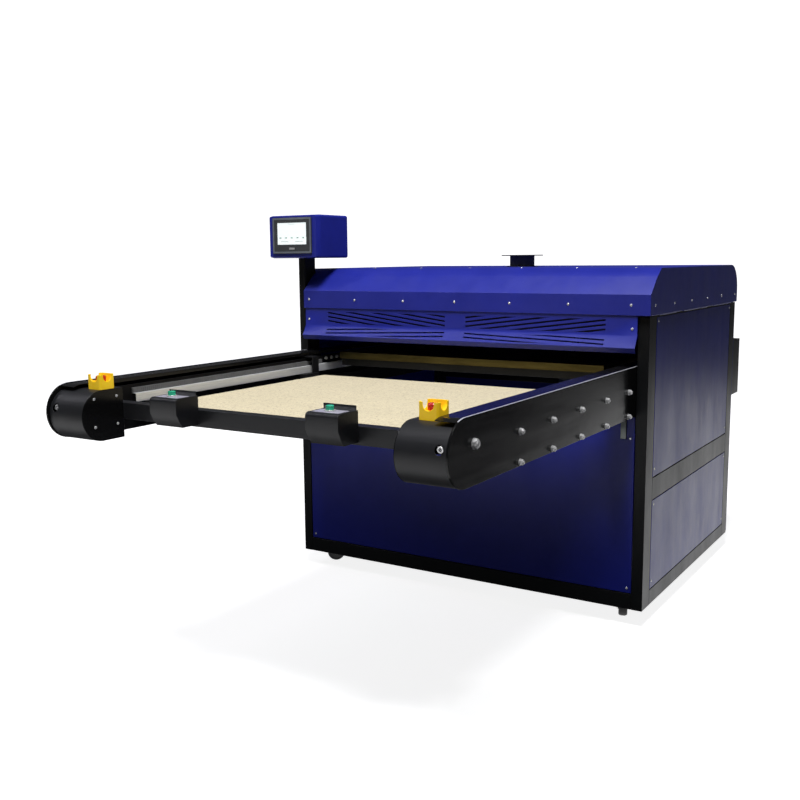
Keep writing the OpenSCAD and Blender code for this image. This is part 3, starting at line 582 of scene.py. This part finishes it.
# The arm spacers' light grey-green finish is a painted reflection.
OWN_FINISH = {
    "arm_beams": BEAM_BLACK, "cylinder_rods": ROD_STEEL, "end_covers": SATIN_BLACK,
    "button_boxes": SATIN_BLACK, "crossbar": SATIN_BLACK, "arm_spacers": PAINTED_SHEEN_GREY,
}
for node, rounding in EDGE_ROUNDING.items():
    refine(node, rounding, material=OWN_FINISH.get(node))


# Height in millimetres below which the rail's faces are painted black as painted shade for the
# slot.
RAIL_SLOT_TOP = 790.5


def repaint(piece, material, chosen):
    """Gives the faces that the test picks a second finish."""
    piece.data.materials.append(material)
    for face in piece.data.polygons:
        if chosen(face):
            face.material_index = 1


def arm_plates():
    """Outer plates of the arms, with a painted highlight: a bright metal finish on their upward
    faces.
    """
    # Painted highlight: the faces that point up take the bright edge finish.
    repaint(refine("arm_plates", 0.8), PAINTED_EDGE_HIGHLIGHT, lambda face: face.normal.z > 0.9)


def table_rails():
    """Bright flanges above a slot; the rail's faces below the slot's top are painted black as
    painted shade.
    """
    slot_top = at(0, 0, RAIL_SLOT_TOP).z
    # Painted shade: every face below the slot's top takes the black beam finish, standing in for
    # the shade inside the slot.
    repaint(refine("table_rails", 0.6), BEAM_BLACK, lambda face: face.center.z < slot_top)


arm_plates()
table_rails()

# ---- Fasteners ----


def socket_screw(bm, place, radius):
    """Button head with a hexagon socket."""
    socket = radius * 0.36
    lathe(bm, place, [
        (radius, 0), (radius, radius * 0.1), (radius * 0.93, radius * 0.26),
        (radius * 0.72, radius * 0.4), (radius * 0.5, radius * 0.44),
        (socket * 1.08, radius * 0.44, HEXAGON), (socket, radius * 0.4, HEXAGON),
        (socket, radius * 0.16, HEXAGON),
    ])


# The machine's middle in plan; screw heads look away from it.
PANELS_MIDDLE = (0, 589, 0)
HOOD_SCREWS = 7
HOOD_SCREW_PITCH = 220
HOOD_SCREW_Y = 112
HOOD_SCREW_RADIUS = 4.5


def panel_screws():
    """One screw for each head of the CAD node, and a row along the hood's top."""
    bm = bmesh.new()
    for low, high in islands("panel_screws"):
        size = high - low
        axis = min(range(3), key=lambda k: size[k])
        centre = (low + high) / 2
        outward = 1 if centre[axis] > PANELS_MIDDLE[axis] else -1
        if axis == 0 and centre.y < 0:
            outward = -outward
        direction = Vector([outward if k == axis else 0 for k in range(3)])
        seat = centre.copy()
        seat[axis] = low[axis] if outward > 0 else high[axis]
        socket_screw(bm, facing(at(*seat), direction), size[(axis + 1) % 3] / 2)
    hood_high = in_mm(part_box("hood")[1])
    for i in range(HOOD_SCREWS):
        x = (i - (HOOD_SCREWS - 1) / 2) * HOOD_SCREW_PITCH
        spot = at(x, HOOD_SCREW_Y, hood_high.z - 0.3)
        socket_screw(bm, facing(spot, (0, 0, 1)), HOOD_SCREW_RADIUS)
    finished("panel_screw_heads", bm, "frame", "bright_steel", replaces=["panel_screws"])


THREAD_PITCH = 1.5


def threaded_end(bm, place, radius, start, length):
    """A stud's end with thread crests and a rounded tip."""
    profile = []
    turns = int(length / THREAD_PITCH)
    for i in range(turns):
        z = start + i * THREAD_PITCH
        profile += [(radius * 0.9, z), (radius, z + THREAD_PITCH / 2)]
    profile += [
        (radius * 0.9, start + turns * THREAD_PITCH), (radius * 0.55, start + length + 0.3),
    ]
    lathe(bm, place, profile, count=20)


def washer(bm, place, radius, bore, thick):
    """A flat ring with rounded outer edges."""
    rings = lathe(bm, place, [
        (bore, 0), (radius - 0.4, 0), (radius, 0.4), (radius, thick - 0.5),
        (radius - 0.5, thick), (bore, thick),
    ], close_start=False, close_end=False)
    for i in range(len(rings[0])):
        j = (i + 1) % len(rings[0])
        bm.faces.new((rings[-1][i], rings[-1][j], rings[0][j], rings[0][i]))


def hex_nut(bm, place, flat, start, height):
    """Hexagon with chamfered ends; flat is half its width across flats."""
    lathe(bm, place, [
        (flat * 0.94, start), (flat, start + height * 0.1, HEX_TRIMMED),
        (flat, start + height * 0.86, HEX_TRIMMED), (flat * 0.93, start + height),
    ], count=48)


def hex_head(bm, place, flat, height):
    """Bolt head with a washer face; flat is half its width across flats."""
    lathe(bm, place, [
        (flat * 0.95, 0), (flat * 0.95, 0.6), (flat, 0.8, HEX_TRIMMED),
        (flat, height - 0.8, HEX_TRIMMED), (flat * 0.92, height),
    ], count=48)


def tension_screw(bm, place):
    """Belt tension screw: a shank and a round head with a hexagon socket."""
    lathe(bm, place, [(5, -70), (5, -12.5)], count=20)
    lathe(bm, place, [
        (8.8, -12), (9.2, -11), (9.2, -1.2), (8.2, 0), (5.0, 0),
        (4.6, -0.3, HEXAGON), (4.6, -7, HEXAGON),
    ], count=48)


BEAM_FACE = 642
PLATE_FACE = 710
STUD = {"radius": 5, "washer": 10, "nut": 8, "nut_height": 8}
AXLE = {"radius": 8, "washer": 14, "nut": 12, "nut_height": 9}
# Extent along Y, in millimetres, that tells the kinds of bolt apart.
AXLE_ABOVE = 24
TENSION_SCREW_ABOVE = 60
WASHER_THICK = 2
THREAD_SHOWN = 3.5


def stud_with_nut(bm, place, inner, sizes):
    """A stud from its inner end out through a washer and a nut."""
    radius = sizes["radius"]
    lathe(bm, place, [(radius, inner), (radius, 1)], count=24)
    washer(bm, place, sizes["washer"], radius, WASHER_THICK)
    hex_nut(bm, place, sizes["nut"], WASHER_THICK, sizes["nut_height"])
    threaded_end(bm, place, radius, WASHER_THICK + sizes["nut_height"], THREAD_SHOWN)


def arm_bolts():
    """Studs with washers and nuts on the arms, the idler axles and the belt tension screws."""
    bm = bmesh.new()
    for low, high in islands("arm_bolts"):
        size = high - low
        centre = (low + high) / 2
        side = 1 if centre.x > 0 else -1
        if size.y > TENSION_SCREW_ABOVE:
            tension_screw(bm, facing(at(centre.x, low.y, centre.z), (0, -1, 0)))
        elif abs(centre.x) < BEAM_FACE:
            place = facing(at(BEAM_FACE * side, centre.y, centre.z), (-side, 0, 0))
            hex_head(bm, place, 6.5, 8)
        else:
            place = facing(at(PLATE_FACE * side, centre.y, centre.z), (side, 0, 0))
            inner = -(PLATE_FACE - min(abs(low.x), abs(high.x)))
            stud_with_nut(bm, place, inner, AXLE if size.y > AXLE_ABOVE else STUD)
    finished("arm_bolts_detailed", bm, "frame", "bright_steel", replaces=["arm_bolts"])


panel_screws()
arm_bolts()

# ---- Belts ----

BELT_PITCH = 10.0
BELT_WIDTH = 16
BELT_BACK = 2.0
BELT_WITH_TEETH = 2.9
TOOTH_STEPS = ((0, False), (1.5, True), (4.5, True), (6, False))


def toothed_belt(side):
    """A closed belt round the shaft's pulley and the idler, with teeth inside."""
    low, high = (in_mm(p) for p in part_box("drive_belts"))
    idler_low, idler_high = (in_mm(p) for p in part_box("right_idler"))
    shaft_low, shaft_high = (in_mm(p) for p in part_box("drive_shaft"))
    z = (idler_low.z + idler_high.z) / 2
    y_front = (idler_low.y + idler_high.y) / 2
    y_back = (shaft_low.y + shaft_high.y) / 2
    outer = (high.z - low.z) / 2
    inner = outer - BELT_BACK
    tooth = outer - BELT_WITH_TEETH
    x_out = side * high.x
    x_in = side * (high.x - BELT_WIDTH)
    run = y_back - y_front
    bend = math.pi * outer
    total = 2 * (run + bend)
    count = round(total / BELT_PITCH)

    def on_loop(s, radius):
        """The point at arc length s, measured on the outside, at a radius from the pulley axes."""
        s %= total
        if s < run:
            return y_front + s, z + radius
        if s < run + bend:
            a = (s - run) / outer
            return y_back + radius * math.sin(a), z + radius * math.cos(a)
        if s < 2 * run + bend:
            return y_back - (s - run - bend), z - radius
        a = (s - 2 * run - bend) / outer
        return y_front - radius * math.sin(a), z - radius * math.cos(a)

    bm = bmesh.new()
    sections = []
    for i in range(count):
        s = i * total / count
        for offset, raised in TOOTH_STEPS:
            inside = on_loop(s + offset, tooth if raised else inner)
            outside = on_loop(s + offset, outer)
            sections.append([
                bm.verts.new(at(x, p[0], p[1]))
                for x, p in ((x_out, outside), (x_in, outside), (x_in, inside), (x_out, inside))
            ])
    for a, b in zip(sections, sections[1:] + sections[:1]):
        for k in range(4):
            bm.faces.new((a[k], a[(k + 1) % 4], b[(k + 1) % 4], b[k]))
    return bm


def drive_belts():
    """Both belts; they stay in place while their pulleys turn."""
    left, right = toothed_belt(-1), toothed_belt(1)
    finished("left_drive_belt", left, "frame", "belt_rubber", sharp=25, weighted=False)
    finished(
        "right_drive_belt", right, "frame", "belt_rubber",
        replaces=["drive_belts"], sharp=25, weighted=False,
    )


drive_belts()

# ---- Padded table ----


def table_pad():
    """Felt pad: slightly waved top, soft rounded rim, edges that aren't quite straight."""
    low, high = (in_mm(p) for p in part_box("table_pad"))
    size = high - low
    random.seed(7)
    phases = [random.uniform(0, 2 * math.pi) for _ in range(12)]

    def wave(x, y):
        """Height of the felt above its mean, in millimetres."""
        return (
            0.35 * math.sin(x * 0.021 + phases[0]) * math.sin(y * 0.017 + phases[1])
            + 0.22 * math.sin(x * 0.006 + y * 0.05 + phases[2])
            + 0.18 * math.sin(x * 0.047 - y * 0.031 + phases[3])
        )

    def edge_wobble(t, k):
        """How far the edge strays from a straight line."""
        return 0.5 * math.sin(t * 0.031 + phases[k]) + 0.35 * math.sin(t * 0.11 + phases[k + 1])

    columns, rows = 140, 126
    rim = [(0.0, 0.42), (0.12, 0.72), (0.45, 0.93), (1.0, 1.0)]
    rim_reach = 5.0
    pulled_within = 40

    def inset(i, count, length):
        """Distance along a side, packed closely near both ends for the rim."""
        steps = [r * rim_reach for r, _ in rim]
        if i < len(steps):
            return steps[i]
        if i > count - len(steps):
            return length - steps[count - i]
        inner = count - 2 * (len(steps) - 1)
        return rim_reach + (i - len(steps) + 1) * (length - 2 * rim_reach) / inner

    def height_share(depth):
        """Share of the full height at a distance in from the edge."""
        for (d0, h0), (d1, h1) in zip(rim, rim[1:]):
            if depth <= d1 * rim_reach:
                t = (depth - d0 * rim_reach) / ((d1 - d0) * rim_reach)
                return h0 + (h1 - h0) * t
        return 1.0

    bm = bmesh.new()
    top, bottom = [], []
    for j in range(rows + 1):
        y = inset(j, rows, size.y)
        top_row, bottom_row = [], []
        for i in range(columns + 1):
            x = inset(i, columns, size.x)
            depth = min(x, y, size.x - x, size.y - y)
            near = max(0.0, 1 - depth / pulled_within)
            px = low.x + x
            py = low.y + y
            if min(x, size.x - x) < pulled_within:
                px += (1 if x < size.x / 2 else -1) * near * (0.9 + edge_wobble(y, 4))
            if min(y, size.y - y) < pulled_within:
                py += (1 if y < size.y / 2 else -1) * near * (0.9 + edge_wobble(x, 6))
            z = low.z + (size.z - 0.9) * height_share(depth) + wave(x, y) * min(1, depth / 15)
            top_row.append(bm.verts.new(at(px, py, z)))
            bottom_row.append(bm.verts.new(at(px, py, low.z + 0.2)))
        top.append(top_row)
        bottom.append(bottom_row)
    for j in range(rows):
        for i in range(columns):
            bm.faces.new((top[j][i], top[j][i + 1], top[j + 1][i + 1], top[j + 1][i]))
            bm.faces.new((bottom[j][i], bottom[j + 1][i], bottom[j + 1][i + 1], bottom[j][i + 1]))
    border = (
        [(0, i) for i in range(columns)] + [(j, columns) for j in range(rows)]
        + [(rows, i) for i in range(columns, 0, -1)] + [(j, 0) for j in range(rows, 0, -1)]
    )
    for (j0, i0), (j1, i1) in zip(border, border[1:] + border[:1]):
        bm.faces.new((bottom[j0][i0], bottom[j1][i1], top[j1][i1], top[j0][i0]))
    pad = finished(
        "felt_pad", bm, "table", "pad_felt", replaces=["table_pad"], sharp=70, weighted=False,
    )


table_pad()

# ---- Screen ----


def screen_face():
    """The lit display behind its frame, with a plain row of icons and two status lines."""
    low, high = (in_mm(p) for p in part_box("touch_screen"))
    bm = bmesh.new()
    block(bm, low, high, round_by=0.4)
    finished("screen_face", bm, "frame", "screen_face", replaces=["touch_screen"])
    icon_green = moulded("icon_green", (0.5, 0.68, 0.6), 0.4)
    icon_grey = moulded("icon_grey", (0.5, 0.58, 0.56), 0.4)
    front = low.y - 0.25
    width = high.x - low.x
    height = high.z - low.z
    rows = [
        ("screen_icons", icon_green, 5, 0.07, 0.06, 0.31),
        ("screen_status", icon_grey, 2, 0.27, 0.02, 0.14),
        ("screen_title", icon_grey, 1, 0.22, 0.015, 0.92),
    ]
    for name, material, count, share, tall, up in rows:
        bm = bmesh.new()
        for k in range(count):
            x = low.x + width * (k + 0.5) / count
            z = low.z + height * up
            half = width * share / 2
            rise = height * tall / 2
            block(bm, (x - half, front, z - rise), (x + half, front + 0.2, z + rise), 0.08)
        finished(name, bm, "frame", "screen_face", material)


def panel_trim():
    """A lighter rim round the touch panel and a blank badge under its glass."""
    low, high = (in_mm(p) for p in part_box("touch_panel"))
    glass_low, glass_high = (in_mm(p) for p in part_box("touch_screen"))
    rim_grey = moulded("rim_grey", (0.16, 0.18, 0.21), 0.35)
    bm = bmesh.new()
    front = low.y - 0.6
    width = 7.0
    inset = 1.6
    a, b = low.x + inset, high.x - inset
    c, d = low.z + inset, high.z - inset
    for x0, z0, x1, z1 in (
        (a, d - width, b, d), (a, c, b, c + width),
        (a, c + width, a + width, d - width), (b - width, c + width, b, d - width),
    ):
        block(bm, (x0, front, z0), (x1, low.y + 0.5, z1), 0.25)
    finished("panel_rim", bm, "frame", "bezel_grey", rim_grey)
    bm = bmesh.new()
    middle = (low.x + high.x) / 2
    height = (low.z + glass_low.z) / 2 + 2
    block(bm, (middle - 14, front, height - 4), (middle + 14, low.y + 0.5, height + 4), 0.25)
    finished("blank_badge", bm, "frame", "bezel_grey", BADGE_SILVER)


screen_face()
panel_trim()

# ---- Small trim ----


START_BUTTON_X = 288
LEGEND_HALF_WIDTH = 44


def legend_plates():
    """Blank plates under the start buttons' rings."""
    bm = bmesh.new()
    low, high = (in_mm(p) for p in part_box("button_boxes"))
    for x in (-START_BUTTON_X, START_BUTTON_X):
        block(
            bm, (x - LEGEND_HALF_WIDTH, low.y + 16, high.z - 14),
            (x + LEGEND_HALF_WIDTH, low.y + 66, high.z - 13.2), 0.3,
        )
    finished("legend_plates", bm, "frame", "black_plastic", LEGEND_PALE)


TUFT_PITCH = 9.0


def seal_strips():
    """Dust brushes along the arm beams: leaning tufts in a thin holder."""
    low, high = (in_mm(p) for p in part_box("seal_strips"))
    bm = bmesh.new()
    holder = 3.0
    for side in (-1, 1):
        wall = side * high.x
        edge = side * (high.x - 8)
        a, b = sorted((wall, wall - side * holder))
        block(bm, (a, low.y, low.z), (b, high.y, high.z), 0.4)
        for k in range(int((high.y - low.y) / TUFT_PITCH)):
            y = low.y + 1 + k * TUFT_PITCH
            sway = 0.7 + 0.7 * math.sin(k * 12.9898)
            a, b = sorted((wall - side * holder, edge + side * sway))
            block(bm, (a, y, low.z + 1), (b, y + TUFT_PITCH - 1.6, high.z - 1 - sway))
    finished(
        "seal_brushes", bm, "frame", "black_plastic", SEAL_BRUSH,
        replaces=["seal_strips"], weighted=False,
    )


FLANGE = 14.0
SHEET = 1.5


def folded_rim(bm, low, high, axis, inward):
    """Flanges folded back from a panel's four edges; axis is the one the panel faces along."""
    others = [k for k in range(3) if k != axis]
    back = high if inward > 0 else low
    start, stop = sorted((back[axis], back[axis] + inward * FLANGE))
    for k in others:
        for edge, step in ((low[k], SHEET), (high[k], -SHEET)):
            a, b = low.copy(), high.copy()
            a[axis], b[axis] = start, stop
            a[k], b[k] = sorted((edge, edge + step))
            block(bm, a, b)


def panel_flanges():
    """Folded edges behind the front panel and the four side panels."""
    bm = bmesh.new()
    for low, high in islands("front_panel"):
        folded_rim(bm, low, high, 1, 1)
    for low, high in islands("side_panels"):
        folded_rim(bm, low, high, 0, -1 if low.x > 0 else 1)
    finished("panel_flanges", bm, "frame", "panel_blue", weighted=False)


legend_plates()
seal_strips()
panel_flanges()

# ---- Floor, light and world ----


def stage_material():
    """White paper that stays bright far from the machine."""
    s = Shader("stage", (0.72, 0.72, 0.73), 0.8)
    paper = s.noise(3.0, detail=4.0)
    s.colored(s.mix(s.spread(paper, 0.0, 1.0), s.tint(0.99), s.tint(1.01)))
    reach = s.node("ShaderNodeVectorMath", operation="LENGTH")
    s.join(s.coords, reach.inputs[0])
    glow = s.spread(reach.outputs["Value"], 0.86, 1.0, 1.5, 4.5)
    s.bsdf.inputs["Emission Color"].default_value = (1, 1, 1, 1)
    s.join(glow, s.bsdf.inputs["Emission Strength"])
    return s.material


def stage_piece(name, bm, material, mirrored):
    """A part of the stage; it takes shadows but throws no light on the machine's paint."""
    mesh = bpy.data.meshes.new(name)
    bm.to_mesh(mesh)
    bm.free()
    mesh.shade_smooth()
    mesh.materials.append(material)
    piece = bpy.data.objects.new(name, mesh)
    scene.collection.objects.link(piece)
    piece.visible_diffuse = False
    piece.visible_glossy = mirrored


def make_stage():
    """A pale floor that curves up behind the machine, with paper sheets behind and before it."""
    material = stage_material()
    floor_z = cad_bounds[0].z - 0.0005
    near, depth, rise, bend, half = -9.0, 7.0, 8.0, 3.0, 14.0
    bend_steps = 16
    profile = [(near, floor_z), (depth, floor_z)]
    for k in range(1, bend_steps + 1):
        a = math.pi / 2 * k / bend_steps
        profile.append((depth + bend * math.sin(a), floor_z + bend * (1 - math.cos(a))))
    profile.append((depth + bend, floor_z + bend + rise))
    turn = Matrix.Rotation(CAMERA_AZIMUTH, 4, "Z")
    bm = bmesh.new()
    rows = [[bm.verts.new(turn @ Vector((x, y, z))) for x in (-half, half)] for y, z in profile]
    for a, b in zip(rows, rows[1:]):
        bm.faces.new((a[0], a[1], b[1], b[0]))
    stage_piece("sweep", bm, material, False)
    sheets = {
        "rear_paper": [(-2.6, 0.0), (1.6, 0.0), (2.9, 6.6), (-2.6, 6.6)],
        "front_paper": [(-4.0, -6.0), (1.4, -6.0), (1.4, -1.5), (-4.0, -1.5)],
    }
    for name, corners in sheets.items():
        bm = bmesh.new()
        bm.faces.new([bm.verts.new((x, y, floor_z + 0.0003)) for x, y in corners])
        stage_piece(name, bm, material, True)


def softbox(name, position, target, size, power, color=(1, 1, 1)):
    """A rectangular area light aimed at a point."""
    data = bpy.data.lights.new(name, "AREA")
    data.shape = "RECTANGLE"
    data.size, data.size_y = size
    data.energy = power
    data.color = color
    light = bpy.data.objects.new(name, data)
    scene.collection.objects.link(light)
    aim = Vector(target) - Vector(position)
    light.matrix_world = (
        Matrix.Translation(Vector(position)) @ aim.to_track_quat("-Z", "Y").to_matrix().to_4x4()
    )


def make_light():
    """One broad light overhead, a thin one for the highlights, a dim room."""
    softbox("overhead", (0.85, -1.9, 6.4), (0, 0, 0.9), (1.8, 1.8), 400)
    softbox("strip", (-4.2, -2.4, 5.4), (0, -1.0, 0.8), (0.35, 3.2), 60, (0.93, 0.92, 1.0))
    world = bpy.data.worlds.new("studio")
    scene.world = world
    world.use_nodes = True
    background = world.node_tree.nodes["Background"]
    background.inputs["Color"].default_value = (0.93, 0.95, 1.0, 1)
    background.inputs["Strength"].default_value = 0.07
    scene.view_settings.view_transform = "Standard"


make_stage()
make_light()
